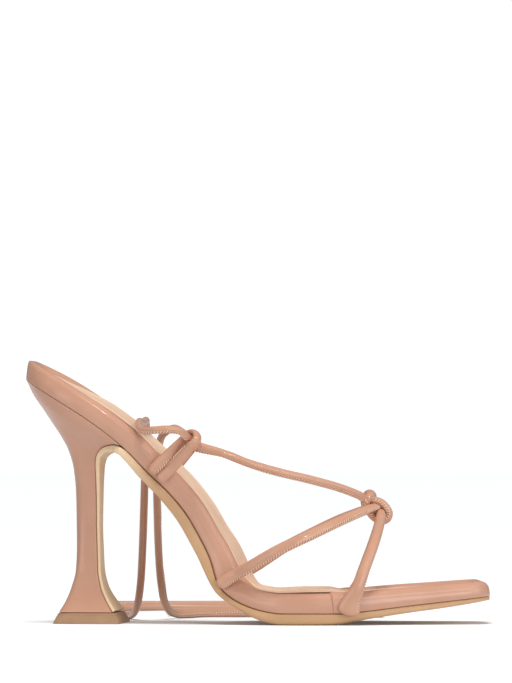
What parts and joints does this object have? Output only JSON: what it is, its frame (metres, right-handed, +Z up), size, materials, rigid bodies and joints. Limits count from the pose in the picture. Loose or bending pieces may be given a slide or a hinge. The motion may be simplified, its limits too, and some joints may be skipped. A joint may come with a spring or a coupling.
{
  "type": "square toe heeled sandal",
  "caption": "Right foot sandal on a high flared heel: square toe footbed, rolled vamp straps, instep lace through side loops and long ankle ties lying loose.",
  "frame": {"origin": "on the floor, under the middle of the shoe's box, without its loose ties", "axes": "+X from heel to toe, +Z up, +Y to the inner side of the foot"},
  "size_m": [0.2131, 0.279, 0.1208],
  "materials": {
    "nude_wrap": "glossy coated synthetic leather",
    "nude_strap": "glossy coated synthetic leather, rolled and stitched",
    "cream_sock": "satin synthetic lining",
    "tan_sole": "satin resin sheet",
    "lift_rubber": "satin hard rubber",
    "gold_tip": "polished plated metal"
  },
  "bodies": {
    "root": {"footbed": "nude_wrap", "insole_sock": "cream_sock", "outsole": "tan_sole", "heel": "nude_wrap", "heel_lift": "lift_rubber", "vamp_straps": "nude_strap", "instep_lace": "nude_strap", "side_loop_lateral": "nude_strap", "side_loop_medial": "nude_strap", "tie_lateral": "nude_strap", "tie_medial": "nude_strap", "tie_tip_lateral": "gold_tip", "tie_tip_medial": "gold_tip"}
  },
  "joints": []
}
